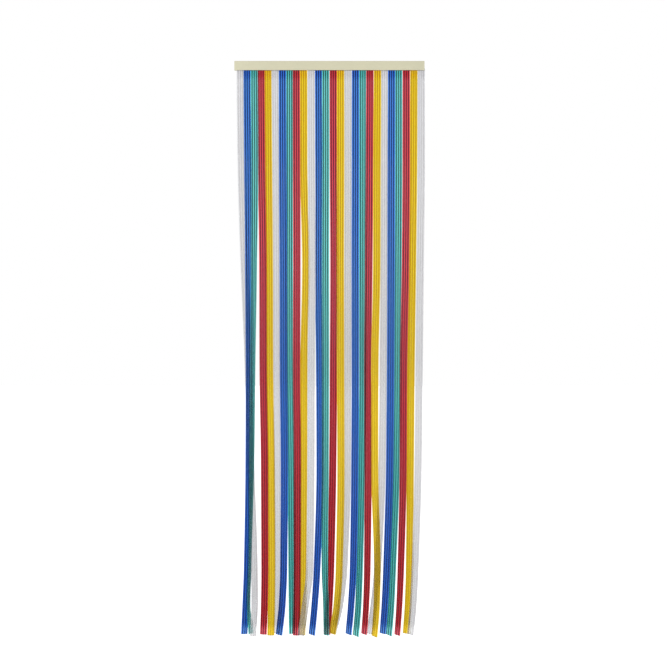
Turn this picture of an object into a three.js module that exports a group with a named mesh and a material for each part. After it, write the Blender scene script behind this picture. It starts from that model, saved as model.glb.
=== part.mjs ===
// Plastic strip curtain with its headrail, in millimetres, +Z up.
// The origin is the middle of the headrail's flat back face. +X runs to the right along
// the rail, and -Y points from the back of the rail to its front.

import * as THREE from "three";

// Headrail: one extrusion with a keyhole groove, open below and at both ends
const RAIL_LENGTH = 700;
const RAIL_HEIGHT = 34;
const RAIL_DEPTH = 14;
const RAIL_CORNER = 3;
const RAIL_CORNER_STEPS = 5;
const LIP_CHAMFER = 0.8;
const SKIRT_HALF_WIDTH = 4;
const SKIRT_HEIGHT = 20;
const NECK_HALF_WIDTH = 1.4;
const SHOULDER_HEIGHT = 23;
const BEAD_ROOM_HALF_WIDTH = 2.6;
const BEAD_ROOM_ROOF = 29;

// Heights and depths that the pieces share
const RAIL_UNDERSIDE = -RAIL_HEIGHT / 2;
const GROOVE_Y = -RAIL_DEPTH / 2;

// Ribbon: three ribs on thin webs, with a thin lip along each edge
const RIBBON_WIDTH = 28;
const RIB_SPACING = 8.1;
const RIB_HALF_WIDTH = 2.7;
const RIB_HALF_THICKNESS = 1.1;
const WEB_HALF_THICKNESS = 0.4;
const LIP_HALF_THICKNESS = 0.35;

// The bead at the ribbon's top, which rests on the shoulders of the rail's neck
const BEAD_HALF_THICKNESS = 2.3;
const BEAD_TOP_HALF_THICKNESS = 0.9;
const BEAD_HALF_WIDTH = 11.2;
const BEAD_TOP = 28.6;
const BEAD_MIDDLE = 26.2;
const BEAD_FOOT = 23.6;
const NECK_FOOT = 19.7;
const FLARE_FOOT = 2;

// The depth of one layer, at the rail and at the ribbons' feet; it grows with the square
// root of the drop
const LAYER_AT_RAIL = 1;
const LAYER_AT_FOOT = 8;

// The heights that the table's sideways columns are read at, and the share of the curl and
// of the turn that a ribbon has there. The last one is the ribbon's own foot.
const LEVELS = [
  { drop: 330, column: "at330", curl: 0.25, turn: 0 },
  { drop: 720, column: "at720", curl: 0.4, turn: 0.05 },
  { drop: 1090, column: "at1090", curl: 0.5, turn: 0.15 },
  { drop: 1460, column: "at1460", curl: 0.6, turn: 0.35 },
  { drop: 1840, column: "at1840", curl: 0.8, turn: 0.7 },
  { drop: 1970, column: "at1970", curl: 0.9, turn: 0.85 },
  { drop: "fall", column: "foot", curl: 1, turn: 1 },
];

// A row for each ribbon, from left to right.
// place: where its bead sits along the rail, from the rail's middle.
// at330 to foot: how far it has drifted to the right at that drop below the rail.
// fall: how far its foot hangs below the rail. layer: its depth order, higher in front.
// curl: how far its edges curl back at the foot, as half of the arc in degrees.
// turn: how far its right edge comes forward at the foot, in degrees.
// cut: how much lower the cut leaves the right corner than the left one.
const RIBBON_COLUMNS = [
  "colour", "place", "at330", "at720", "at1090", "at1460", "at1840", "at1970", "foot",
  "fall", "layer", "curl", "turn", "cut",
];
const RIBBON_ROWS = [
  ["clear", -328, 3, 14, 29, 38, 52, 54, 48, 2082, -2, 40, -26, 0],
  ["blue", -303, 3, 6, 8, 7, 1, -4, -9, 2077, 0, 40, -25, 0],
  ["green", -277, 2, 0, -4, -7, -14, -18, -11, 2077, 2, 20, 0, 0],
  ["red", -252, 2, 7, 8, 13, 14, 12, 8, 2077, 1, 40, 8, 0],
  ["yellow", -227, 2, 5, 6, 12, 14, 13, 11, 2082, 0, 40, 0, 0],
  ["clear", -200, 3, 4, 6, 7, 10, 9, 6, 2075, -1, 40, 5, 0],
  ["blue", -173, 1, 3, 4, 7, 4, -2, -14, 2078, 1, 40, 15, 3],
  ["green", -147, 0, -1, 1, 6, 9, 10, 11, 2077, -1, 40, -22, 0],
  ["red", -122, 1, 2, 1, 4, 3, 2, 0, 2082, 0, 40, 0, 0],
  ["yellow", -95, 0, 8, 1, 0, -1, -3, -7, 2082, -1, 40, 0, 0],
  ["clear", -67, 1, 3, 0, -1, -6, -22, -38, 2080, 1, 40, 5, 0],
  ["blue", -40, 1, 0, 4, 5, -7, -16, -27, 2080, -1, 40, 22, 5],
  ["green", -14, 0, -1, -1, -2, -5, -1, 0, 2079, 1, 40, 38, 2],
  ["red", 14, 1, 3, 1, -2, -10, -16, -24, 2079, -1, 40, 10, 2],
  ["yellow", 41, 0, -1, 0, 1, -6, -15, -32, 2074, 1, 40, 18, 3],
  ["clear", 68, 1, 0, -1, -2, -15, -30, -56, 2076, -2, 40, 35, 0],
  ["blue", 96, 0, -1, -1, -3, -10, -18, -28, 2075, 1, 40, 27, 5],
  ["green", 123, 0, 0, 0, -4, -13, -18, -28, 2085, -2, 40, 33, 7],
  ["red", 149, -1, -4, -8, -7, -11, -16, -24, 2076, 0, 40, 34, 4],
  ["yellow", 177, -2, -3, -10, -11, -2, -5, -14, 2083, 1, 40, 34, 6],
  ["clear", 203, 0, -1, -4, -9, -26, -39, -55, 2077, -1, 40, 10, 0],
  ["blue", 229, -1, -2, -4, -8, -20, -27, -35, 2073, 1, 40, 25, 2],
  ["green", 255, 0, -2, -4, -9, -23, -29, -38, 2081, -1, 40, 24, 8],
  ["red", 283, 0, -3, -10, -12, -22, -28, -36, 2078, 1, 40, 36, 4],
  ["yellow", 311, -1, -5, -10, -13, -17, -22, -30, 2076, -1, 40, 20, 0],
  ["clear", 338, 0, -4, -8, -12, -24, -31, -42, 2076, 1, 40, 27, 3],
];

// Where the third ribbon turns edge on and slips between the first two: the layer and the
// turn that a ribbon, numbered from the left, has there in place of its row's
const CROSSINGS = {
  1: { at1970: { layer: -0.5 }, foot: { layer: 1 } },
  3: {
    at720: { turn: -38 },
    at1090: { turn: -47 },
    at1460: { turn: -54 },
    at1840: { turn: -69 },
    at1970: { turn: -68, layer: 1 },
    foot: { turn: -50, layer: -1.5 },
  },
};

const RIBBONS = RIBBON_ROWS.map((row) =>
  Object.fromEntries(RIBBON_COLUMNS.map((column, i) => [column, row[i]]))
);

// Colours and roughness of the plastics
const RAIL_ROUGHNESS = 0.5;
const RIBBON_ROUGHNESS = 0.35;
const RAIL_COLOUR = 0xdbd2b6;
const RIBBON_COLOURS = {
  clear: 0xd0d0d2,
  blue: 0x1f4f9e,
  green: 0x3f9590,
  red: 0xa8272f,
  yellow: 0xdcab1c,
};

// The headrail's section, drawn with depth across and height up, then extruded along the rail
function railSection() {
  const front = -RAIL_DEPTH;
  const top = RAIL_HEIGHT;
  const section = new THREE.Shape();
  section.moveTo(0, 0);
  section.lineTo(0, top);
  section.lineTo(front + RAIL_CORNER, top);
  section.absarc(front + RAIL_CORNER, top - RAIL_CORNER, RAIL_CORNER, Math.PI / 2, Math.PI, false);
  section.lineTo(front, 0);
  section.lineTo(GROOVE_Y - SKIRT_HALF_WIDTH - LIP_CHAMFER, 0);
  for (const side of [-1, 1]) {
    const half = [
      [SKIRT_HALF_WIDTH, LIP_CHAMFER],
      [SKIRT_HALF_WIDTH, SKIRT_HEIGHT],
      [NECK_HALF_WIDTH, SKIRT_HEIGHT],
      [NECK_HALF_WIDTH, SHOULDER_HEIGHT],
      [BEAD_ROOM_HALF_WIDTH, SHOULDER_HEIGHT],
      [BEAD_ROOM_HALF_WIDTH, BEAD_ROOM_ROOF],
    ];
    const inOrder = side < 0 ? half : half.reverse();
    for (const [across, height] of inOrder) section.lineTo(GROOVE_Y + side * across, height);
  }
  section.lineTo(GROOVE_Y + SKIRT_HALF_WIDTH + LIP_CHAMFER, 0);
  section.closePath();
  return section;
}

function makeHeadrail() {
  const geometry = new THREE.ExtrudeGeometry(railSection(), {
    depth: RAIL_LENGTH,
    bevelEnabled: false,
    curveSegments: RAIL_CORNER_STEPS,
  });
  const depthAxis = new THREE.Vector3(0, 1, 0);
  const heightAxis = new THREE.Vector3(0, 0, 1);
  const lengthAxis = new THREE.Vector3(1, 0, 0);
  geometry.applyMatrix4(new THREE.Matrix4().makeBasis(depthAxis, heightAxis, lengthAxis));
  geometry.translate(-RAIL_LENGTH / 2, 0, RAIL_UNDERSIDE);
  return geometry;
}

// Half of the ribbon's thickness at places across it, from its left edge to its right edge
function ribbonSection() {
  const edge = RIBBON_WIDTH / 2;
  const section = [{ across: -edge, half: 0 }];
  for (const rib of [-1, 0, 1]) {
    const crest = rib * RIB_SPACING;
    const leftFoot = rib < 0 ? LIP_HALF_THICKNESS : WEB_HALF_THICKNESS;
    const rightFoot = rib > 0 ? LIP_HALF_THICKNESS : WEB_HALF_THICKNESS;
    section.push({ across: crest - RIB_HALF_WIDTH, half: leftFoot });
    section.push({ across: crest, half: RIB_HALF_THICKNESS });
    section.push({ across: crest + RIB_HALF_WIDTH, half: rightFoot });
  }
  section.push({ across: edge, half: 0 });
  return section;
}

const SECTION = ribbonSection();

// The levels of one ribbon, from its bead down to its foot. swell is half of the bead's
// thickness, and slope is how steeply the level runs upwards from left to right.
function ribbonLevels(ribbon, number) {
  const narrow = BEAD_HALF_WIDTH / (RIBBON_WIDTH / 2);
  const still = { x: ribbon.place, curl: 0, turn: 0, slope: 0 };
  const flat = { ...still, swell: 0, depth: 0, width: narrow };
  const levels = [
    { ...flat, z: BEAD_TOP, swell: BEAD_TOP_HALF_THICKNESS },
    { ...flat, z: BEAD_MIDDLE, swell: BEAD_HALF_THICKNESS },
    { ...flat, z: BEAD_FOOT },
    { ...flat, z: NECK_FOOT },
    { ...flat, z: FLARE_FOOT, depth: ribbon.layer * LAYER_AT_RAIL, width: 1 },
  ];
  for (const level of LEVELS) {
    const drop = level.drop === "fall" ? ribbon.fall : level.drop;
    const spread = Math.sqrt(drop / ribbon.fall);
    const usual = { layer: ribbon.layer, turn: ribbon.turn * level.turn };
    const here = { ...usual, ...CROSSINGS[number]?.[level.column] };
    levels.push({
      z: -drop,
      x: ribbon.place + ribbon[level.column],
      depth: here.layer * (LAYER_AT_RAIL + (LAYER_AT_FOOT - LAYER_AT_RAIL) * spread),
      curl: THREE.MathUtils.degToRad(ribbon.curl * level.curl),
      turn: THREE.MathUtils.degToRad(here.turn),
      width: 1,
      swell: 0,
      slope: 0,
    });
  }
  const foot = levels[levels.length - 1];
  const above = levels[levels.length - 2];
  const lean = (foot.x - above.x) / (above.z - foot.z);
  foot.slope = lean - ribbon.cut / RIBBON_WIDTH;
  return levels;
}

// One point of the ribbon's skin: side is 1 on its front and -1 on its back
function skinPoint(level, spot, side) {
  const bulk = level.swell && spot.half ? level.swell : spot.half;
  const across = spot.across * level.width;
  let flatX = across;
  let forward = side * bulk;
  if (level.curl) {
    const radius = RIBBON_WIDTH / 2 / level.curl;
    const angle = across / radius;
    flatX = (radius + side * bulk) * Math.sin(angle);
    forward = (radius + side * bulk) * Math.cos(angle) - radius;
  }
  const x = flatX * Math.cos(level.turn) - forward * Math.sin(level.turn);
  const toFront = flatX * Math.sin(level.turn) + forward * Math.cos(level.turn);
  return [
    level.x + x,
    GROOVE_Y - level.depth - toFront,
    RAIL_UNDERSIDE + level.z + level.slope * x,
  ];
}

// One closed skin, from ring to ring down the ribbon, with a flat cut at its top and foot.
// The triangles of its back mirror those of its front, so a turning web stays equally thick.
function makeRibbon(ribbon, number) {
  const last = SECTION.length - 1;
  const ringSize = 2 * last;
  const backIndex = (i) => (i === 0 ? 0 : i === last ? last : ringSize - i);
  const levels = ribbonLevels(ribbon, number);
  const points = [];
  for (const level of levels) {
    for (let i = 0; i <= last; i++) points.push(...skinPoint(level, SECTION[i], 1));
    for (let i = last - 1; i >= 1; i--) points.push(...skinPoint(level, SECTION[i], -1));
  }
  const faces = [];
  for (let ring = 0; ring + 1 < levels.length; ring++) {
    const upper = ring * ringSize;
    const lower = upper + ringSize;
    for (let i = 0; i < ringSize; i++) {
      const next = (i + 1) % ringSize;
      const [a, b, c, d] = [upper + i, lower + i, lower + next, upper + next];
      faces.push(...(i < last ? [a, b, c, a, c, d] : [a, b, d, b, c, d]));
    }
  }
  const lowest = (levels.length - 1) * ringSize;
  for (const [start, isTop] of [[0, true], [lowest, false]]) {
    for (let i = 0; i < last; i++) {
      const corners = [i, i + 1, backIndex(i + 1), backIndex(i)];
      for (const [a, b, c] of [[0, 1, 2], [0, 2, 3]]) {
        const face = [start + corners[a], start + corners[b], start + corners[c]];
        if (new Set(face).size < 3) continue;
        faces.push(...(isTop ? face : face.reverse()));
      }
    }
  }
  const geometry = new THREE.BufferGeometry();
  geometry.setAttribute("position", new THREE.Float32BufferAttribute(points, 3));
  geometry.setIndex(faces);
  geometry.computeVertexNormals();
  return geometry;
}

function addPiece(group, name, geometry, colour, roughness) {
  const material = new THREE.MeshStandardMaterial({ color: colour, roughness, metalness: 0 });
  const mesh = new THREE.Mesh(geometry, material);
  mesh.name = name;
  group.add(mesh);
}

const curtain = new THREE.Group();
addPiece(curtain, "headrail", makeHeadrail(), RAIL_COLOUR, RAIL_ROUGHNESS);
RIBBONS.forEach((ribbon, i) => {
  const name = `strip_${String(i + 1).padStart(2, "0")}_${ribbon.colour}`;
  const geometry = makeRibbon(ribbon, i + 1);
  addPiece(curtain, name, geometry, RIBBON_COLOURS[ribbon.colour], RIBBON_ROUGHNESS);
});

export default curtain;
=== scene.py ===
"""Plastic strip curtain: ribbed, translucent ribbons that hang from a plain headrail."""

import math
import random

import bmesh
import bpy
import numpy as np
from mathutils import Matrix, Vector


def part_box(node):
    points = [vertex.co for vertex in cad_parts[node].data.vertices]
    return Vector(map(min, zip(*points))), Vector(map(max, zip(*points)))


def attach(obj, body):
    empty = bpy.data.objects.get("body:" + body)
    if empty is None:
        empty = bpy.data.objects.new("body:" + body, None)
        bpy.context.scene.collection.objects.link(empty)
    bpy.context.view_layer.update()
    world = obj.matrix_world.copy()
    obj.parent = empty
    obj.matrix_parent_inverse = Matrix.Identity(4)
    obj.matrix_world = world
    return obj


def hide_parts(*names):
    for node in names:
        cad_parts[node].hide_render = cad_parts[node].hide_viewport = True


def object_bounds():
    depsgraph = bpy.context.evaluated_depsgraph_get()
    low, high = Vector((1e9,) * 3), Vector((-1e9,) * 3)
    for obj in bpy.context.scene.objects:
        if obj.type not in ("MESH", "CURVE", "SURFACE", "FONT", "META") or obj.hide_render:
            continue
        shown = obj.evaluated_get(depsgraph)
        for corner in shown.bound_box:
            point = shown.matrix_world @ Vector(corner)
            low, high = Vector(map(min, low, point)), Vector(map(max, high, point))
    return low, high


bl_info = {
    "name": "Plastic strip curtain",
    "version": (1, 0, 0),
    "blender": (4, 5, 0),
    "location": "3D View > Sidebar > Curtain",
    "description": "Makes a headrail, its ribbed plastic ribbons and a pale studio",
    "category": "Object",
}

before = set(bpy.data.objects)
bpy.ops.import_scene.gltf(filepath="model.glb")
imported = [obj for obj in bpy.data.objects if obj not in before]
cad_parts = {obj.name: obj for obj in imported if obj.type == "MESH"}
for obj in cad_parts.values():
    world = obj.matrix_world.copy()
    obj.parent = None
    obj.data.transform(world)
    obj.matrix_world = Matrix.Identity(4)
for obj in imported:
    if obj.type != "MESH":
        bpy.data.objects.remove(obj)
CAD_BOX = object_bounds()
RAIL_LOW, RAIL_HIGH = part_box("headrail")
STRIP_NODES = sorted(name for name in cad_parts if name.startswith("strip_"))

# The body that all pieces ride on, and the layer with the plastic laid flat
ROOT = "root"
LAID_FLAT = "laid_flat"

WHITE = (1.0, 1.0, 1.0, 1.0)
BLACK = (0.0, 0.0, 0.0, 1.0)

# How each colour changes on a ribbon's way down: how much deeper its tint gets, and how much painted
# shade darkens it lower down
FALLING_TINT_AND_SHADE = {
    "clear": (0.12, 0.17),
    "blue": (0.42, 0.10),
    "green": (0.40, 0.08),
    "red": (0.55, 0.08),
    "yellow": (0.0, 0.21),
}

# Between which heights above a ribbon's foot each change takes place, in metres
TINT_CHANGE = (1.45, 0.10)
# The painted shade lower down grows between these heights
SHADE_FALLOFF_CHANGE = (1.60, 0.0)
SOFT_CHANGE = (1.42, 1.12)
CRISP_CHANGE = (0.42, 0.28)
# The painted highlight near the foot, and the painted shade at the cut, fade in between these heights
FOOT_GLINT_CHANGE = (0.045, 0.015)
CUT_SHADE_CHANGE = (0.0045, 0.0)

# How much white is painted into the webs near the foot as a painted highlight, and black into the
# ribs at the cut as painted shade
PAINTED_FOOT_GLINT = 0.03
PAINTED_CUT_SHADE = 0.6

# How fast the lips outside the outer ribs get thin, against the flanks of the ribs
LIP_THINNING = 1.0

# Painted shade from the rail: how much deeper the tint gets just below it, and how far below the rail
# that ends and starts
PAINTED_RAIL_SHADE = 0.36
RAIL_SHADE_REACH = (0.041, 0.013)

# How each plastic's skin looks: its fine lines, how rough and how unevenly worn it is, and its relief
RIBBON_SKIN = {
    "lines": 2600.0, "roughness": 0.15, "spread": 0.05, "mottle": 0.06,
    "relief": 0.25, "relief_height": 0.00005,
}
RAIL_SKIN = {
    "lines": 900.0, "roughness": 0.38, "spread": 0.18, "mottle": 0.12,
    "relief": 0.3, "relief_height": 0.00008,
}

# How the ribbons' soft plastic bends light, shines and lets light through
RIBBON_IOR = 1.35
RIBBON_SHINE = 0.3
SEEN_THROUGH = 0.78

# The fine lines' noise: how far it is drawn out along the plastic, its detail, and how much it shows
LINE_STRETCH, LINE_DETAIL, LINE_CONTRAST = 0.004, 3.0, 0.08

# The noise of smears and blotches: how far each is drawn out, its scale and its detail
SMEAR_STRETCH, SMEAR_SCALE, SMEAR_DETAIL = 0.12, 60.0, 4.0
BLOTCH_STRETCH, BLOTCH_SCALE, BLOTCH_DETAIL = 0.25, 7.0, 2.0

# Between which values of their noise smears make the plastic rougher
SMEAR_CHANGE = (0.35, 0.8)

# Rings of a strip's solid lie further apart than this, in metres; points that agree to so many
# digits are one point
RING_GAP = 0.0015
POINT_DIGITS = 6

# How much of its solid's width a bead takes up, how full its section is, and how often a ribbon sways
BEAD_SHARE = 0.96
BEAD_FULLNESS = 8
SWAY_BEATS = (2.2, 3.6)

# Curls below these, in radians, are taken as none where they are found and where they are built
NO_CURL = 1e-3
LEAST_CURL = 1e-4
CURL_STEPS = 8

# Edges with a sharper angle than these are eased on the rail, and shaded sharp on each plastic
EASED_ANGLE = math.radians(60)
RAIL_SHARP_ANGLE = math.radians(35)
RIBBON_SHARP_ANGLE = math.radians(50)

# The floor's roughness, and its glow where it only lights and where it is seen
FLOOR_ROUGHNESS = 0.9
FLOOR_GLOW = (0.1, 0.75)

# The floor's mottle: its darkest and lightest grey, its noise, and the noise that each grey is at
FLOOR_GREY = (0.86, 0.9)
FLOOR_MOTTLE_SCALE, FLOOR_MOTTLE_DETAIL = 3.0, 3.0
FLOOR_MOTTLE_CHANGE = (0.2, 0.8)

# Where the two soft lights stand, in metres, and how wide and tall they are
KEY_PLACE = (-3.2, -4.0, -0.8)
FILL_PLACE = (3.6, -3.4, -0.8)
LIGHT_WIDTH, LIGHT_HEIGHT = 1.5, 6.5


# Settings that a user would change


class RailSizes(bpy.types.PropertyGroup):
    """Sizes of the headrail that its solid doesn't give by its box."""

    corner: bpy.props.FloatProperty(
        name="Front corner", description="Radius along the rail's top front edge",
        default=0.003, min=0.0, unit="LENGTH",
    )
    corner_steps: bpy.props.IntProperty(
        name="Corner steps", description="Flat steps in the round front corner",
        default=10, min=1,
    )
    lip_chamfer: bpy.props.FloatProperty(
        name="Mouth chamfer", description="Chamfer along both sides of the groove's mouth",
        default=0.0008, min=0.0, unit="LENGTH",
    )
    skirt_half_width: bpy.props.FloatProperty(
        name="Mouth half width", description="Half of the width of the groove's wide mouth",
        default=0.004, min=0.0, unit="LENGTH",
    )
    skirt_height: bpy.props.FloatProperty(
        name="Mouth height", description="How far the wide mouth reaches up",
        default=0.020, min=0.0, unit="LENGTH",
    )
    neck_half_width: bpy.props.FloatProperty(
        name="Neck half width", description="Half of the gap that holds the ribbons' beads",
        default=0.0014, min=0.0, unit="LENGTH",
    )
    shoulder_height: bpy.props.FloatProperty(
        name="Shoulder height", description="Height of the shoulders that the beads hang on",
        default=0.023, min=0.0, unit="LENGTH",
    )
    room_half_width: bpy.props.FloatProperty(
        name="Bead room half width", description="Half of the width of the room for the beads",
        default=0.0026, min=0.0, unit="LENGTH",
    )
    room_roof: bpy.props.FloatProperty(
        name="Bead room roof", description="Height of the roof of the room for the beads",
        default=0.029, min=0.0, unit="LENGTH",
    )
    edge_break: bpy.props.FloatProperty(
        name="Edge break", description="Rounding of the rail's long edges and sawn ends",
        default=0.0004, min=0.0, unit="LENGTH",
    )


class RibbonSizes(bpy.types.PropertyGroup):
    """Sizes of the ribbons' section and of the steps that they are built in."""

    width: bpy.props.FloatProperty(
        name="Width", description="Width of a ribbon laid flat",
        default=0.028, min=0.001, unit="LENGTH",
    )
    rib_spacing: bpy.props.FloatProperty(
        name="Rib spacing", description="From one rib's crest to the next",
        default=0.0081, min=0.001, unit="LENGTH",
    )
    rib_width: bpy.props.FloatProperty(
        name="Rib width", description="Width of a rib at its foot",
        default=0.0054, min=0.001, unit="LENGTH",
    )
    rib_thickness: bpy.props.FloatProperty(
        name="Rib thickness", description="Thickness of the ribbon at a rib's crest",
        default=0.0022, min=0.0001, unit="LENGTH",
    )
    web_thickness: bpy.props.FloatProperty(
        name="Web thickness", description="Thickness of the webs between the ribs",
        default=0.0008, min=0.0001, unit="LENGTH",
    )
    lip_round: bpy.props.FloatProperty(
        name="Lip rounding", description="How far from its edge the lip starts to thin out",
        default=0.0012, min=0.0001, unit="LENGTH",
    )
    rib_steps: bpy.props.IntProperty(
        name="Rib steps", description="Steps across each rib", default=8, min=2,
    )
    lip_steps: bpy.props.IntProperty(
        name="Lip steps", description="Steps across each lip", default=4, min=1,
    )
    web_steps: bpy.props.IntProperty(
        name="Web steps", description="Steps across each web", default=2, min=1,
    )
    step_length: bpy.props.FloatProperty(
        name="Step length", description="Length of a step along the ribbon",
        default=0.024, min=0.001, unit="LENGTH",
    )
    foot_step_length: bpy.props.FloatProperty(
        name="Foot step length", description="Length of a step along the ribbon near its foot",
        default=0.008, min=0.001, unit="LENGTH",
    )
    foot_length: bpy.props.FloatProperty(
        name="Foot length", description="How much of a ribbon counts as its foot",
        default=0.16, min=0.001, unit="LENGTH",
    )
    sway: bpy.props.FloatProperty(
        name="Sway", description="Most that a ribbon turns to and fro on its way down",
        default=math.radians(2.0), min=0.0, unit="ROTATION",
    )


def colour_property(name, description, default):
    """A colour that a user may change."""
    return bpy.props.FloatVectorProperty(
        name=name, description=description, default=default, size=3, min=0.0, max=1.0,
        subtype="COLOR",
    )


class PlasticColours(bpy.types.PropertyGroup):
    """Colours of the plastics: each ribbon's thin webs, and its thick ribs, which are deeper."""

    rail: colour_property("Headrail", "Cream plastic of the headrail", (0.755, 0.725, 0.52))
    clear_web: colour_property("Clear web", "Thin part of a clear ribbon", (0.815, 0.815, 0.84))
    clear_rib: colour_property("Clear rib", "Thick part of a clear ribbon", (0.66, 0.655, 0.665))
    blue_web: colour_property("Blue web", "Thin part of a blue ribbon", (0.078, 0.31, 0.88))
    blue_rib: colour_property("Blue rib", "Thick part of a blue ribbon", (0.0, 0.0, 0.095))
    green_web: colour_property("Green web", "Thin part of a green ribbon", (0.22, 0.77, 0.755))
    green_rib: colour_property("Green rib", "Thick part of a green ribbon", (0.0, 0.08, 0.06))
    red_web: colour_property("Red web", "Thin part of a red ribbon", (0.86, 0.10, 0.128))
    red_rib: colour_property("Red rib", "Thick part of a red ribbon", (0.10, 0.0, 0.02))
    yellow_web: colour_property("Yellow web", "Thin part of a yellow ribbon", (0.93, 0.705, 0.021))
    yellow_rib: colour_property("Yellow rib", "Thick part of a yellow ribbon", (0.61, 0.365, 0.004))


class StudioSettings(bpy.types.PropertyGroup):
    """The floor, the lights and the camera."""

    floor_gap: bpy.props.FloatProperty(
        name="Floor gap", description="From the floor up to the ribbons' lowest foot",
        default=0.04, min=0.0, unit="LENGTH",
    )
    floor_reach: bpy.props.FloatProperty(
        name="Floor reach", description="From the middle of the floor to its edges",
        default=30.0, min=1.0, unit="LENGTH",
    )
    surround: bpy.props.FloatProperty(
        name="Surround", description="Brightness of the pale room as it lights the plastic",
        default=0.62, min=0.0,
    )
    key_power: bpy.props.FloatProperty(
        name="Key light", description="Power of the large front light",
        default=75.0, min=0.0, unit="POWER",
    )
    fill_power: bpy.props.FloatProperty(
        name="Fill light", description="Power of the weaker light from the other side",
        default=38.0, min=0.0, unit="POWER",
    )
    camera_distance: bpy.props.FloatProperty(
        name="Camera distance", description="From the camera to the middle of the curtain",
        default=6.0, min=0.5, unit="LENGTH",
    )
    view_width: bpy.props.FloatProperty(
        name="View width", description="Width that the camera takes in at the curtain",
        default=2.457, min=0.1, unit="LENGTH",
    )
    view_across: bpy.props.FloatProperty(
        name="View across", description="The picture's middle, to the right of the rail's",
        default=0.0150, unit="LENGTH",
    )
    view_height: bpy.props.FloatProperty(
        name="View height", description="The picture's middle, up from the rail's middle",
        default=-0.9863, unit="LENGTH",
    )


# Shader nodes


def put(tree, socket, value):
    """Links a socket to value, or sets value on it where value is a number or a colour."""
    if isinstance(value, bpy.types.NodeSocket):
        tree.links.new(value, socket)
    else:
        socket.default_value = value


def calculate(tree, operation, first, second=0.0):
    """The result of one sum on two values."""
    node = tree.nodes.new("ShaderNodeMath")
    node.operation = operation
    put(tree, node.inputs[0], first)
    put(tree, node.inputs[1], second)
    return node.outputs[0]


def ramp(tree, value, start, end, low=0.0, high=1.0):
    """A soft step from low to high as value goes from start to end."""
    node = tree.nodes.new("ShaderNodeMapRange")
    node.interpolation_type = "SMOOTHSTEP"
    for name, setting in (
        ("Value", value), ("From Min", start), ("From Max", end), ("To Min", low), ("To Max", high),
    ):
        put(tree, node.inputs[name], setting)
    return node.outputs["Result"]


def blend(tree, share, first, second, way="MIX"):
    """A mix of two colours."""
    node = tree.nodes.new("ShaderNodeMix")
    node.data_type = "RGBA"
    node.blend_type = way
    put(tree, node.inputs["Factor"], share)
    put(tree, node.inputs["A"], first)
    put(tree, node.inputs["B"], second)
    return node.outputs["Result"]


def noise_texture(tree, place, scale, detail):
    """Soft noise between 0 and 1 at a place."""
    node = tree.nodes.new("ShaderNodeTexNoise")
    put(tree, node.inputs["Vector"], place)
    put(tree, node.inputs["Scale"], scale)
    put(tree, node.inputs["Detail"], detail)
    return node.outputs["Fac"]


def stretched(tree, place, factors):
    """A place with each direction stretched by its own factor."""
    node = tree.nodes.new("ShaderNodeVectorMath")
    node.operation = "MULTIPLY"
    put(tree, node.inputs[0], place)
    node.inputs[1].default_value = factors
    return node.outputs["Vector"]


def parts_of(tree, place):
    """The three parts of a place, by the names X, Y and Z."""
    node = tree.nodes.new("ShaderNodeSeparateXYZ")
    put(tree, node.inputs[0], place)
    return node.outputs


def object_place(tree):
    """The place in the piece itself, in metres."""
    return tree.nodes.new("ShaderNodeTexCoord").outputs["Object"]


def flat_place(tree):
    """The place on the plastic laid flat: across it, and along it, in metres."""
    node = tree.nodes.new("ShaderNodeUVMap")
    node.uv_map = LAID_FLAT
    return node.outputs["UV"]


def open_group(name, inputs, outputs):
    """A new node group with its sockets, its input node and its output node."""
    group = bpy.data.node_groups.new(name, "ShaderNodeTree")
    for label, default in inputs:
        socket = group.interface.new_socket(label, in_out="INPUT", socket_type="NodeSocketFloat")
        socket.default_value = default
    for label in outputs:
        group.interface.new_socket(label, in_out="OUTPUT", socket_type="NodeSocketFloat")
    return group, group.nodes.new("NodeGroupInput").outputs, group.nodes.new("NodeGroupOutput").inputs


def place_group(tree, name, make, **values):
    """Places a node group in a material, and makes it the first time."""
    node = tree.nodes.new("ShaderNodeGroup")
    node.node_tree = bpy.data.node_groups.get(name) or make(name)
    for label, value in values.items():
        put(tree, node.inputs[label.replace("_", " ")], value)
    return node.outputs


def make_ribbed_section(name):
    """How deep a ribbon's tint is across it: 1 on its ribs, and 0 between them and at its edges."""
    group, given, result = open_group(
        name, [("Width", 0.028), ("Rib Spacing", 0.0081), ("Crispness", 1.0)], ["Rib"]
    )
    half = calculate(group, "MULTIPLY", given["Width"], 0.5)
    across = calculate(group, "SUBTRACT", parts_of(group, flat_place(group))["X"], half)
    count = calculate(group, "DIVIDE", calculate(group, "ABSOLUTE", across), given["Rib Spacing"])
    lip = calculate(group, "MAXIMUM", calculate(group, "SUBTRACT", count, 1.0), 0.0)
    count = calculate(group, "MINIMUM", count, 1.0)
    off = calculate(group, "SUBTRACT", count, calculate(group, "ROUND", count))
    off = calculate(group, "ABSOLUTE", off)
    off = calculate(group, "ADD", off, calculate(group, "MULTIPLY", lip, LIP_THINNING))
    above_mean = calculate(group, "SUBTRACT", ramp(group, off, 0.5, 0.0), 0.5)
    contrast = calculate(group, "MULTIPLY", above_mean, given["Crispness"])
    put(group, result["Rib"], calculate(group, "ADD", contrast, 0.5))
    return group


def painted_rail_shade(tree):
    """Painted shade from the rail: how much deeper the tint is painted just below it, near the bead.
    """
    height = parts_of(tree, object_place(tree))["Z"]
    low, high = (RAIL_LOW.z - reach for reach in RAIL_SHADE_REACH)
    return ramp(tree, height, low, high, 0.0, PAINTED_RAIL_SHADE)


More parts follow.
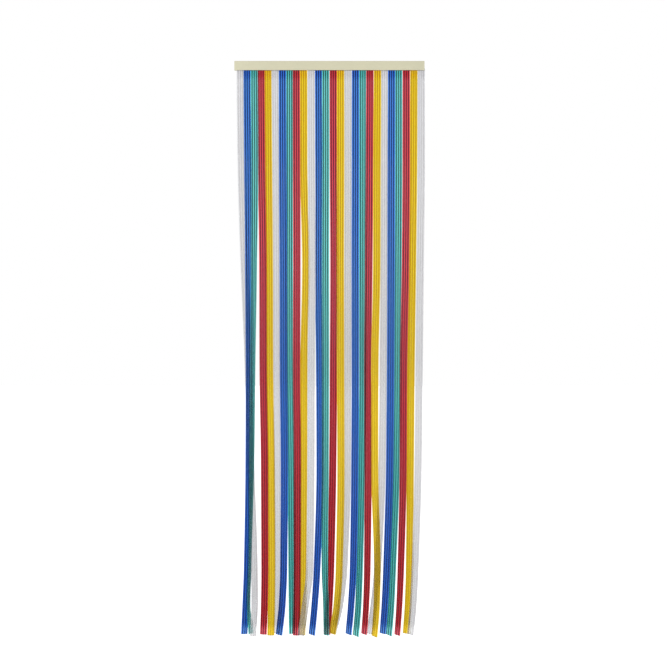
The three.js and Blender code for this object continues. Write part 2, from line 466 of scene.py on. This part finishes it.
def make_fall(name):
    """How a ribbon's look changes on its way down: a deeper tint, painted shade below the rail and
    lower down, a painted highlight near its foot and painted shade at its cut.
    """
    group, given, result = open_group(
        name,
        [("Deepening", 0.3), ("Dulling", 0.1), ("Softening", 0.5), ("Crispening", 0.05)],
        ["Depth", "Tone", "Crispness", "Foot Glint", "Cut Shade"],
    )
    height = parts_of(group, flat_place(group))["Y"]
    # Painted highlight: how strongly the webs glint near the foot
    foot_glint = ramp(group, height, *FOOT_GLINT_CHANGE)
    above_foot_glint = calculate(group, "SUBTRACT", 1.0, foot_glint)
    deeper = calculate(group, "MULTIPLY", ramp(group, height, *TINT_CHANGE), given["Deepening"])
    lower_shade = calculate(group, "MULTIPLY", ramp(group, height, *SHADE_FALLOFF_CHANGE), given["Dulling"])
    softer = calculate(group, "MULTIPLY", ramp(group, height, *SOFT_CHANGE), given["Softening"])
    crisper = calculate(group, "MULTIPLY", ramp(group, height, *CRISP_CHANGE), given["Crispening"])
    lost = calculate(group, "SUBTRACT", softer, crisper)
    deeper, lower_shade, lost = (
        calculate(group, "MULTIPLY", change, above_foot_glint) for change in (deeper, lower_shade, lost)
    )
    # The depth holds the deeper tint lower down and the painted shade just below the rail
    depth = calculate(group, "ADD", calculate(group, "ADD", 1.0, deeper), painted_rail_shade(group))
    put(group, result["Depth"], depth)
    # Tone: painted shade, darker lower down
    put(group, result["Tone"], calculate(group, "SUBTRACT", 1.0, lower_shade))
    put(group, result["Crispness"], calculate(group, "SUBTRACT", 1.0, lost))
    put(group, result["Foot Glint"], foot_glint)
    # Painted shade at the cut, where the cut faces turn down
    put(group, result["Cut Shade"], ramp(group, height, *CUT_SHADE_CHANGE))
    return group


def make_extrusion_lines(name):
    """Fine lines that the die leaves along the plastic."""
    group, given, result = open_group(name, [("Lines", 900.0)], ["Height", "Tone"])
    lines = stretched(group, flat_place(group), (1.0, LINE_STRETCH, 1.0))
    fine = noise_texture(group, lines, given["Lines"], LINE_DETAIL)
    centred = calculate(group, "SUBTRACT", fine, 0.5)
    put(group, result["Height"], centred)
    tone = calculate(group, "MULTIPLY", centred, LINE_CONTRAST)
    put(group, result["Tone"], calculate(group, "ADD", tone, 1.0))
    return group


def make_handling_marks(name):
    """Soft blotches and dust that dull the plastic here and there."""
    group, given, result = open_group(
        name, [("Roughness", 0.3), ("Spread", 0.2), ("Mottle", 0.1)], ["Roughness", "Tone"]
    )
    place = object_place(group)
    smears = stretched(group, place, (1.0, 1.0, SMEAR_STRETCH))
    smears = noise_texture(group, smears, SMEAR_SCALE, SMEAR_DETAIL)
    blotches = stretched(group, place, (1.0, 1.0, BLOTCH_STRETCH))
    blotches = noise_texture(group, blotches, BLOTCH_SCALE, BLOTCH_DETAIL)
    dull = calculate(group, "MULTIPLY", ramp(group, smears, *SMEAR_CHANGE), given["Spread"])
    put(group, result["Roughness"], calculate(group, "ADD", given["Roughness"], dull))
    centred = calculate(group, "SUBTRACT", blotches, 0.5)
    tone = calculate(group, "MULTIPLY", centred, given["Mottle"])
    put(group, result["Tone"], calculate(group, "ADD", tone, 1.0))
    return group


def new_material(name):
    """A material with its tree and its one Principled shader."""
    material = bpy.data.materials.new(name)
    material.use_nodes = True
    return material, material.node_tree, material.node_tree.nodes["Principled BSDF"]


def grey(tree, value):
    """A grey colour of a value, for multiplying another colour by it."""
    node = tree.nodes.new("ShaderNodeCombineColor")
    for name in ("Red", "Green", "Blue"):
        put(tree, node.inputs[name], value)
    return node.outputs["Color"]


def dress_skin(tree, shader, skin):
    """Gives a plastic its roughness and its relief of fine lines, and returns how light it is."""
    lines = place_group(tree, "Extrusion lines", make_extrusion_lines, Lines=skin["lines"])
    marks = place_group(
        tree, "Handling marks", make_handling_marks,
        Roughness=skin["roughness"], Spread=skin["spread"], Mottle=skin["mottle"],
    )
    put(tree, shader.inputs["Roughness"], marks["Roughness"])
    bump = tree.nodes.new("ShaderNodeBump")
    bump.inputs["Strength"].default_value = skin["relief"]
    bump.inputs["Distance"].default_value = skin["relief_height"]
    put(tree, bump.inputs["Height"], lines["Height"])
    put(tree, shader.inputs["Normal"], bump.outputs["Normal"])
    return calculate(tree, "MULTIPLY", lines["Tone"], marks["Tone"])


def ribbon_plastic(colour):
    """Soft, glossy, translucent vinyl: pale where it is thin and deep where it is thick."""
    scene = bpy.context.scene
    colours, sizes = scene.plastic_colours, scene.ribbon_sizes
    web = (*getattr(colours, f"{colour}_web"), 1.0)
    rib = (*getattr(colours, f"{colour}_rib"), 1.0)
    material, tree, shader = new_material(f"ribbon_{colour}")
    deepening, falloff_shade = FALLING_TINT_AND_SHADE[colour]
    fall = place_group(tree, "Fall", make_fall, Deepening=deepening, Dulling=falloff_shade)
    section = place_group(
        tree, "Ribbed section", make_ribbed_section,
        Width=sizes.width, Rib_Spacing=sizes.rib_spacing, Crispness=fall["Crispness"],
    )
    # Painted highlight: a little white is mixed into the webs near the foot
    web = blend(tree, calculate(tree, "MULTIPLY", fall["Foot Glint"], PAINTED_FOOT_GLINT), web, WHITE)
    # Painted shade: black is mixed into the ribs at the cut
    rib = blend(tree, calculate(tree, "MULTIPLY", fall["Cut Shade"], PAINTED_CUT_SHADE), rib, BLACK)
    # Painted shade: the tint's depth also deepens it just below the rail
    tint = tree.nodes.new("ShaderNodeGamma")
    put(tree, tint.inputs["Color"], blend(tree, section["Rib"], web, rib))
    put(tree, tint.inputs["Gamma"], fall["Depth"])
    # The tone is the skin's lines and mottle, times the painted shade lower down
    tone = calculate(tree, "MULTIPLY", dress_skin(tree, shader, RIBBON_SKIN), fall["Tone"])
    toned = blend(tree, 1.0, tint.outputs["Color"], grey(tree, tone), "MULTIPLY")
    put(tree, shader.inputs["Base Color"], toned)
    shader.inputs["IOR"].default_value = RIBBON_IOR
    shader.inputs["Specular IOR Level"].default_value = RIBBON_SHINE
    shader.inputs["Transmission Weight"].default_value = SEEN_THROUGH
    return material


def rail_plastic():
    """Rigid cream plastic with a satin skin, drawn lines and a little handling dirt."""
    colours = bpy.context.scene.plastic_colours
    material, tree, shader = new_material("rail_cream")
    tone = grey(tree, dress_skin(tree, shader, RAIL_SKIN))
    cream = blend(tree, 1.0, (*colours.rail, 1.0), tone, "MULTIPLY")
    put(tree, shader.inputs["Base Color"], cream)
    return material


# Meshes


def add_piece(name, mesh, material, slot, *nodes):
    """Puts a mesh in the scene as a piece that stands for some of the frame's nodes."""
    piece = bpy.data.objects.new(name, mesh)
    bpy.context.scene.collection.objects.link(piece)
    mesh.materials.append(material)
    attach(piece, ROOT)
    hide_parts(*nodes)
    return piece


def rail_outline(sizes):
    """The headrail's section as points of depth and height, in order round it."""
    front, back = RAIL_LOW.y, RAIL_HIGH.y
    foot, top = RAIL_LOW.z, RAIL_HIGH.z
    middle = (front + back) / 2
    outline = [(back, foot), (back, top)]
    for step in range(sizes.corner_steps + 1):
        angle = math.pi / 2 * (1 + step / sizes.corner_steps)
        outline.append((
            front + sizes.corner + sizes.corner * math.cos(angle),
            top - sizes.corner + sizes.corner * math.sin(angle),
        ))
    outline.append((front, foot))
    half = [
        (sizes.skirt_half_width + sizes.lip_chamfer, 0.0),
        (sizes.skirt_half_width, sizes.lip_chamfer),
        (sizes.skirt_half_width, sizes.skirt_height),
        (sizes.neck_half_width, sizes.skirt_height),
        (sizes.neck_half_width, sizes.shoulder_height),
        (sizes.room_half_width, sizes.shoulder_height),
        (sizes.room_half_width, sizes.room_roof),
    ]
    outline += [(middle - across, foot + height) for across, height in half]
    outline += [(middle + across, foot + height) for across, height in reversed(half)]
    return outline


def sort_by_place(pieces, place_of):
    """Puts the points or faces of a mesh in the order of their places."""
    ranked = sorted(pieces, key=lambda piece: place_of(piece).to_tuple(POINT_DIGITS))
    ranks = {piece: rank for rank, piece in enumerate(ranked)}
    pieces.sort(key=ranks.get)


def rail_mesh(sizes):
    """The headrail: its section drawn out between its two sawn ends, with its edges eased."""
    form = bmesh.new()
    outline = rail_outline(sizes)
    rings = [
        [form.verts.new((x, depth, height)) for depth, height in outline]
        for x in (RAIL_LOW.x, RAIL_HIGH.x)
    ]
    count = len(outline)
    for i in range(count):
        j = (i + 1) % count
        form.faces.new((rings[0][i], rings[0][j], rings[1][j], rings[1][i]))
    ends = [form.faces.new(rings[0]), form.faces.new(rings[1])]
    bmesh.ops.recalc_face_normals(form, faces=form.faces)
    eased = [
        edge for edge in form.edges
        if edge.calc_face_angle(0.0) > EASED_ANGLE or any(face in ends for face in edge.link_faces)
    ]
    bmesh.ops.bevel(
        form, geom=eased, offset=sizes.edge_break, segments=2, profile=0.5, affect="EDGES",
        clamp_overlap=True,
    )
    bmesh.ops.triangulate(form, faces=[face for face in form.faces if len(face.verts) > 4])
    # The bevel's own order changes from run to run, so points and faces are sorted by place.
    sort_by_place(form.verts, lambda vertex: vertex.co)
    sort_by_place(form.faces, lambda face: face.calc_center_median())
    flat = form.loops.layers.uv.new(LAID_FLAT)
    for face in form.faces:
        for loop in face.loops:
            place = loop.vert.co
            loop[flat].uv = (place.y + place.z, place.x)
    mesh = bpy.data.meshes.new("rail_extrusion")
    form.to_mesh(mesh)
    form.free()
    mesh.shade_smooth()
    mesh.set_sharp_from_angle(angle=RAIL_SHARP_ANGLE)
    return mesh


def smooth_curve(knots, values):
    """A smooth curve through values at rising knots, which never overshoots them."""
    knots, values = np.array(knots), np.array(values)
    gaps = np.diff(knots)
    rises = np.diff(values) / gaps
    slopes = np.concatenate(([rises[0]], np.zeros(len(rises) - 1), [rises[-1]]))
    for i, (before, after) in enumerate(zip(rises, rises[1:]), start=1):
        if before * after > 0:
            slopes[i] = 2 * before * after / (before + after)

    def at(places):
        i = np.clip(np.searchsorted(knots, places, side="right") - 1, 0, len(gaps) - 1)
        t = (places - knots[i]) / gaps[i]
        start, end = (1 + 2 * t) * (1 - t) ** 2, t * t * (3 - 2 * t)
        leave, arrive = t * (1 - t) ** 2 * gaps[i], t * t * (t - 1) * gaps[i]
        return values[i] * start + values[i + 1] * end + slopes[i] * leave + slopes[i + 1] * arrive

    return at


def read_rings(node):
    """The rings of points that a strip's solid is made of, from its bead down to its foot."""
    places = {vertex.co.to_tuple(POINT_DIGITS) for vertex in node.data.vertices}
    points = [Vector(place) for place in sorted(places, key=lambda place: -place[2])]
    rings = [[points[0]]]
    for point in points[1:]:
        if rings[-1][-1].z - point.z > RING_GAP:
            rings.append([])
        rings[-1].append(point)
    return rings


def edges_of(ring):
    """A ring's left and right edge: the two points that stand furthest from their neighbours."""
    alone = {
        i: min((point - other).length for j, other in enumerate(ring) if j != i)
        for i, point in enumerate(ring)
    }
    ends = sorted(alone, key=alone.get)[-2:]
    return sorted((ring[i] for i in ends), key=lambda p: p.x)


def curl_of(share):
    """The half angle of an arc whose chord is this share of its length."""
    curl = math.sqrt(max(0.0, 6 * (1 - share)))
    for _ in range(CURL_STEPS):
        if curl < NO_CURL:
            return 0.0
        error = math.sin(curl) / curl - share
        slope = (math.cos(curl) - math.sin(curl) / curl) / curl
        curl -= error / slope
    return curl


def read_levels(node, width):
    """How a strip hangs, ring by ring: its drop, place, depth, turn, curl, slope and width."""
    levels = []
    for ring in read_rings(node):
        left, right = edges_of(ring)
        chord = (right.xy - left.xy).length
        in_rail = left.z > RAIL_LOW.z
        laid = BEAD_SHARE * chord if in_rail else width
        curl = 0.0 if in_rail else curl_of(chord / laid)
        sagitta = laid / 2 / curl * (1 - math.cos(curl)) if curl else 0.0
        turn = math.atan2(left.y - right.y, right.x - left.x)
        levels.append({
            "drop": -(left.z + right.z) / 2,
            "x": (left.x + right.x) / 2 - sagitta * math.sin(turn),
            "y": (left.y + right.y) / 2 - sagitta * math.cos(turn),
            "turn": turn,
            "curl": curl,
            "slope": (right.z - left.z) / (right.x - left.x),
            "laid": laid,
            "swell": max(p.y for p in ring) - min(p.y for p in ring) if in_rail else 0.0,
        })
    return levels


def across_steps(sizes):
    """Places across a ribbon laid flat, closer together over its ribs."""
    edge, reach = sizes.width / 2, sizes.rib_width / 2
    places = [-edge]
    for rib in (-1, 0, 1):
        crest = rib * sizes.rib_spacing
        steps = sizes.lip_steps if rib < 0 else sizes.web_steps
        places += list(np.linspace(places[-1], crest - reach, steps + 1)[1:])
        places += list(np.linspace(crest - reach, crest + reach, sizes.rib_steps + 1)[1:])
    places += list(np.linspace(places[-1], edge, sizes.lip_steps + 1)[1:])
    return np.array(places)


def half_thickness(across, sizes):
    """Half of the ribbon's thickness at places across it: round ribs, thin webs, thin lips."""
    crest = np.clip(np.round(across / sizes.rib_spacing), -1, 1) * sizes.rib_spacing
    off = np.clip(np.abs(across - crest) / (sizes.rib_width / 2), 0, 1)
    web = sizes.web_thickness / 2
    raised = web + (sizes.rib_thickness / 2 - web) * (1 + np.cos(math.pi * off)) / 2
    inside = np.clip((sizes.width / 2 - np.abs(across)) / sizes.lip_round, 0, 1)
    return raised * np.sqrt(inside * (2 - inside))


def along_steps(levels, sizes):
    """Drops of a ribbon's stations: its levels in the rail, then even steps, finer at its foot."""
    held = [level["drop"] for level in levels if level["swell"]]
    end = levels[-1]["drop"]
    foot = end - sizes.foot_length
    in_rail = np.interp(np.arange(0, len(held) - 0.5, 0.5), np.arange(len(held)), held)
    long_steps = max(1, round((foot - in_rail[-1]) / sizes.step_length))
    foot_steps = max(1, round(sizes.foot_length / sizes.foot_step_length))
    return np.concatenate((
        in_rail,
        np.linspace(in_rail[-1], foot, long_steps + 1)[1:],
        np.linspace(foot, end, foot_steps + 1)[1:],
    ))


def hang_curves(levels, drops, sizes, chance):
    """How a ribbon hangs at each of its stations: its levels joined smoothly, with a slight sway."""
    knots = [level["drop"] for level in levels]
    hang = {
        key: smooth_curve(knots, [level[key] for level in levels])(drops)
        for key in ("x", "y", "turn", "curl", "laid", "swell")
    }
    fallen = np.clip((drops + RAIL_LOW.z) / (levels[-1]["drop"] + RAIL_LOW.z), 0, 1)
    phase, beat = chance.uniform(0, math.tau), chance.uniform(*SWAY_BEATS)
    hang["turn"] = hang["turn"] + sizes.sway * fallen * np.sin(phase + beat * math.tau * fallen)
    near_foot = np.clip((drops - drops[-1]) / sizes.foot_length + 1, 0, 1)
    hang["slope"] = levels[-1]["slope"] * near_foot ** 2 * (3 - 2 * near_foot)
    return [dict(zip(hang, values)) for values in zip(*hang.values())]


def hang_ring(here, drop, places, bulk, width):
    """One ring of a ribbon's points: its flat section curled, turned and hung at its drop."""
    place = places * here["laid"] / width
    if here["curl"] > LEAST_CURL:
        radius = here["laid"] / 2 / here["curl"]
        flat_x = (radius + bulk) * np.sin(place / radius)
        forward = (radius + bulk) * np.cos(place / radius) - radius
    else:
        flat_x, forward = place, bulk
    turn = here["turn"]
    x = flat_x * math.cos(turn) - forward * math.sin(turn)
    to_front = flat_x * math.sin(turn) + forward * math.cos(turn)
    return np.column_stack((here["x"] + x, here["y"] - to_front, -drop + here["slope"] * x))


def ribbon_mesh(name, node, sizes, chance):
    """One ribbon: a ribbed section carried down through its solid's levels, closed at both cuts."""
    levels = read_levels(node, sizes.width)
    drops = along_steps(levels, sizes)
    across = across_steps(sizes)
    ribbed = half_thickness(across, sizes)
    places = np.concatenate((across, across[-2:0:-1]))
    ribbed = np.concatenate((ribbed, -ribbed[-2:0:-1]))
    side = np.concatenate((np.full(len(across), 1.0), np.full(len(across) - 2, -1.0)))
    rounded = np.sqrt(np.clip(1 - (2 * places / sizes.width) ** BEAD_FULLNESS, 0, 1))
    points, flat = [], []
    for drop, here in zip(drops, hang_curves(levels, drops, sizes, chance)):
        bulk = side * here["swell"] / 2 * rounded if here["swell"] > 0 else ribbed
        points.append(hang_ring(here, drop, places, bulk, sizes.width))
        height = np.full(len(places), drops[-1] - drop)
        flat.append(np.column_stack((places + sizes.width / 2, height)))
    return skin(name, np.concatenate(points), np.concatenate(flat), len(across), len(drops))


def skin(name, points, flat, wide, tall):
    """Faces over rings of points, with a row of faces across the cut at either end."""
    ring = 2 * (wide - 1)
    faces = []
    for row in range(tall - 1):
        upper, lower = row * ring, (row + 1) * ring
        for i in range(ring):
            j = (i + 1) % ring
            faces.append((upper + i, lower + i, lower + j, upper + j))
    for start, is_top in ((0, True), ((tall - 1) * ring, False)):
        for i in range(wide - 1):
            back = [(ring - k) % ring for k in (i, i + 1)]
            face = [start + k for k in (i, i + 1, back[1], back[0])]
            face = list(dict.fromkeys(face))
            faces.append(tuple(face if is_top else reversed(face)))
    mesh = bpy.data.meshes.new(name)
    mesh.from_pydata(points.tolist(), [], faces)
    layer = mesh.uv_layers.new(name=LAID_FLAT)
    order = np.zeros(len(mesh.loops), int)
    mesh.loops.foreach_get("vertex_index", order)
    layer.data.foreach_set("uv", flat[order].astype(np.float32).ravel())
    mesh.validate()
    mesh.shade_smooth()
    mesh.set_sharp_from_angle(angle=RIBBON_SHARP_ANGLE)
    return mesh


# Operators, one for each piece or group of like pieces and one for the stage


class CURTAIN_OT_make_headrail(bpy.types.Operator):
    """Make the headrail with its hidden groove"""

    bl_idname = "curtain.make_headrail"
    bl_label = "Make the headrail"

    def execute(self, context):
        mesh = rail_mesh(context.scene.rail_sizes)
        add_piece("rail_extrusion", mesh, rail_plastic(), "headrail", "headrail")
        return {"FINISHED"}


class CURTAIN_OT_hang_ribbons(bpy.types.Operator):
    """Hang every ribbed ribbon from the headrail's groove"""

    bl_idname = "curtain.hang_ribbons"
    bl_label = "Hang the ribbons"

    def execute(self, context):
        sizes = context.scene.ribbon_sizes
        plastics = {}
        for place, strip in enumerate(STRIP_NODES):
            _, number, colour = strip.split("_")
            name = f"ribbon_{number}_{colour}"
            if colour not in plastics:
                plastics[colour] = ribbon_plastic(colour)
            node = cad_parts[strip]
            mesh = ribbon_mesh(name, node, sizes, random.Random(place))
            ribbon = add_piece(name, mesh, plastics[colour], f"ribbon_{colour}", strip)
        return {"FINISHED"}


class CURTAIN_OT_set_studio(bpy.types.Operator):
    """Lay the pale floor, set the soft lights and place the camera"""

    bl_idname = "curtain.set_studio"
    bl_label = "Set the studio"

    def execute(self, context):
        settings = context.scene.studio
        lay_floor(settings)
        light_room(context.scene, settings)
        add_soft_light("key_light", KEY_PLACE, settings.key_power)
        add_soft_light("fill_light", FILL_PLACE, settings.fill_power)
        place_camera(context.scene, settings)
        context.scene.view_settings.view_transform = "Standard"
        return {"FINISHED"}


def lay_floor(settings):
    """A wide pale floor just below the ribbons' feet."""
    reach, height = settings.floor_reach, CAD_BOX[0].z - settings.floor_gap
    mesh = bpy.data.meshes.new("floor")
    corners = [(x * reach, y * reach, height) for x, y in ((-1, -1), (1, -1), (1, 1), (-1, 1))]
    mesh.from_pydata(corners, [], [(0, 1, 2, 3)])
    floor = bpy.data.objects.new("floor", mesh)
    bpy.context.scene.collection.objects.link(floor)
    material, tree, shader = new_material("pale_floor")
    mottle = noise_texture(tree, object_place(tree), FLOOR_MOTTLE_SCALE, FLOOR_MOTTLE_DETAIL)
    mottle = ramp(tree, mottle, *FLOOR_MOTTLE_CHANGE, *FLOOR_GREY)
    put(tree, shader.inputs["Base Color"], grey(tree, mottle))
    shader.inputs["Roughness"].default_value = FLOOR_ROUGHNESS
    shader.inputs["Emission Color"].default_value = WHITE
    put(tree, shader.inputs["Emission Strength"], ramp(tree, is_seen(tree), 0.0, 1.0, *FLOOR_GLOW))
    mesh.materials.append(material)


def is_seen(tree):
    """1 for what the camera sees straight or through the plastic, and 0 for what only lights."""
    path = tree.nodes.new("ShaderNodeLightPath").outputs
    return calculate(tree, "MAXIMUM", path["Is Camera Ray"], path["Is Transmission Ray"])


def light_room(scene, settings):
    """A white room that is seen white, and that lights the plastic more softly."""
    world = bpy.data.worlds.new("white_room")
    world.use_nodes = True
    scene.world = world
    tree = world.node_tree
    background = tree.nodes["Background"]
    background.inputs["Color"].default_value = WHITE
    strength = ramp(tree, is_seen(tree), 0.0, 1.0, settings.surround, 1.0)
    put(tree, background.inputs["Strength"], strength)


def add_soft_light(name, place, power):
    """A tall soft light that faces the middle of the curtain, and reaches past both its ends."""
    light = bpy.data.lights.new(name, "AREA")
    light.shape = "RECTANGLE"
    light.size, light.size_y = LIGHT_WIDTH, LIGHT_HEIGHT
    light.energy = power
    lamp = bpy.data.objects.new(name, light)
    bpy.context.scene.collection.objects.link(lamp)
    lamp.location = place
    middle = (CAD_BOX[0] + CAD_BOX[1]) / 2
    lamp.rotation_euler = (middle - lamp.location).to_track_quat("-Z", "Y").to_euler()


def place_camera(scene, settings):
    """A level camera with a long lens, square on to the curtain."""
    lens = bpy.data.cameras.new("camera")
    lens.lens = lens.sensor_width * settings.camera_distance / settings.view_width
    camera = bpy.data.objects.new("camera", lens)
    scene.collection.objects.link(camera)
    middle = (CAD_BOX[0].y + CAD_BOX[1].y) / 2
    camera.location = (settings.view_across, middle - settings.camera_distance, settings.view_height)
    camera.rotation_euler = (math.pi / 2, 0.0, 0.0)
    scene.camera = camera


class CURTAIN_PT_making(bpy.types.Panel):
    """The curtain's operators and settings"""

    bl_idname = "CURTAIN_PT_making"
    bl_label = "Plastic strip curtain"
    bl_space_type = "VIEW_3D"
    bl_region_type = "UI"
    bl_category = "Curtain"

    def draw(self, context):
        for operator in OPERATORS:
            self.layout.operator(operator.bl_idname)
        for name in SETTINGS:
            group = getattr(context.scene, name)
            box = self.layout.box()
            for key in group.bl_rna.properties.keys():
                if key not in ("rna_type", "name"):
                    box.prop(group, key)


OPERATORS = (CURTAIN_OT_make_headrail, CURTAIN_OT_hang_ribbons, CURTAIN_OT_set_studio)
SETTINGS = {
    "rail_sizes": RailSizes,
    "ribbon_sizes": RibbonSizes,
    "plastic_colours": PlasticColours,
    "studio": StudioSettings,
}


def register():
    for kind in (*SETTINGS.values(), *OPERATORS, CURTAIN_PT_making):
        bpy.utils.register_class(kind)
    for name, kind in SETTINGS.items():
        setattr(bpy.types.Scene, name, bpy.props.PointerProperty(type=kind))


def unregister():
    for name in SETTINGS:
        delattr(bpy.types.Scene, name)
    for kind in reversed((*SETTINGS.values(), *OPERATORS, CURTAIN_PT_making)):
        bpy.utils.unregister_class(kind)


def main():
    register()
    bpy.ops.curtain.make_headrail()
    bpy.ops.curtain.hang_ribbons()
    bpy.ops.curtain.set_studio()


if __name__ == "__main__":
    main()
